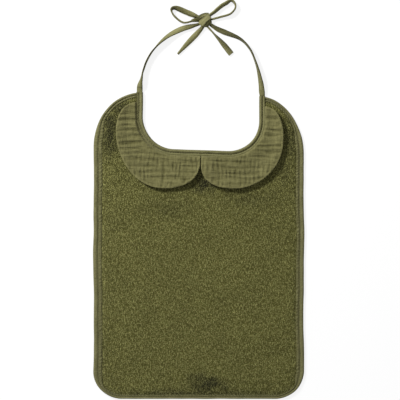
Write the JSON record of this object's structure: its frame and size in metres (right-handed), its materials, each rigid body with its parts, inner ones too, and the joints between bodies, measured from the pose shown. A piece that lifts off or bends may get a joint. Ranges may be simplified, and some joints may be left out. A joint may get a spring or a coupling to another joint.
{
  "type": "baby bib",
  "caption": "Flat cloth baby bib with a terry front, taped edges, a two-leaf collar and tape ties knotted in a bow behind the neck.",
  "frame": {"origin": "middle of the body panel on its underside, without the ties", "axes": "+Z out of the front of the bib, +Y from the hem towards the neck, +X to the right as seen from the front"},
  "size_m": [0.23, 0.4389, 0.0066],
  "materials": {
    "terry": "looped terry pile",
    "backing": "plain woven cotton gauze",
    "gauze": "crinkled double gauze",
    "tape": "folded and stitched cotton tape"
  },
  "bodies": {
    "bib": {"gauze_back": "backing", "terry_front": "terry", "edge_binding": "tape", "neck_binding": "tape", "left_collar_stand": "gauze", "right_collar_stand": "gauze"},
    "left_collar": {"left_collar_under": "gauze", "left_collar_upper": "gauze"},
    "right_collar": {"right_collar_under": "gauze", "right_collar_upper": "gauze"},
    "neck_loop": {"left_tie": "tape", "right_tie": "tape", "left_bow_loop": "tape", "right_bow_loop": "tape", "left_tie_end": "tape", "right_tie_end": "tape", "bow_knot": "tape"}
  },
  "joints": [
    {"name": "left_collar_fold", "type": "hinge", "parent": "bib", "child": "left_collar", "pos_m": [-0.06061, 0.10839, 0.0055], "axis": [-0.7071, 0.7071, 0], "range_deg": [0, 150]},
    {"name": "right_collar_fold", "type": "hinge", "parent": "bib", "child": "right_collar", "pos_m": [0.06061, 0.10839, 0.0055], "axis": [-0.7071, -0.7071, 0], "range_deg": [0, 150]},
    {"name": "neck_loop_swing", "type": "hinge", "parent": "bib", "child": "neck_loop", "pos_m": [0, 0.1676, 0.00185], "axis": [1, 0, 0], "range_deg": [-90, 90]}
  ]
}
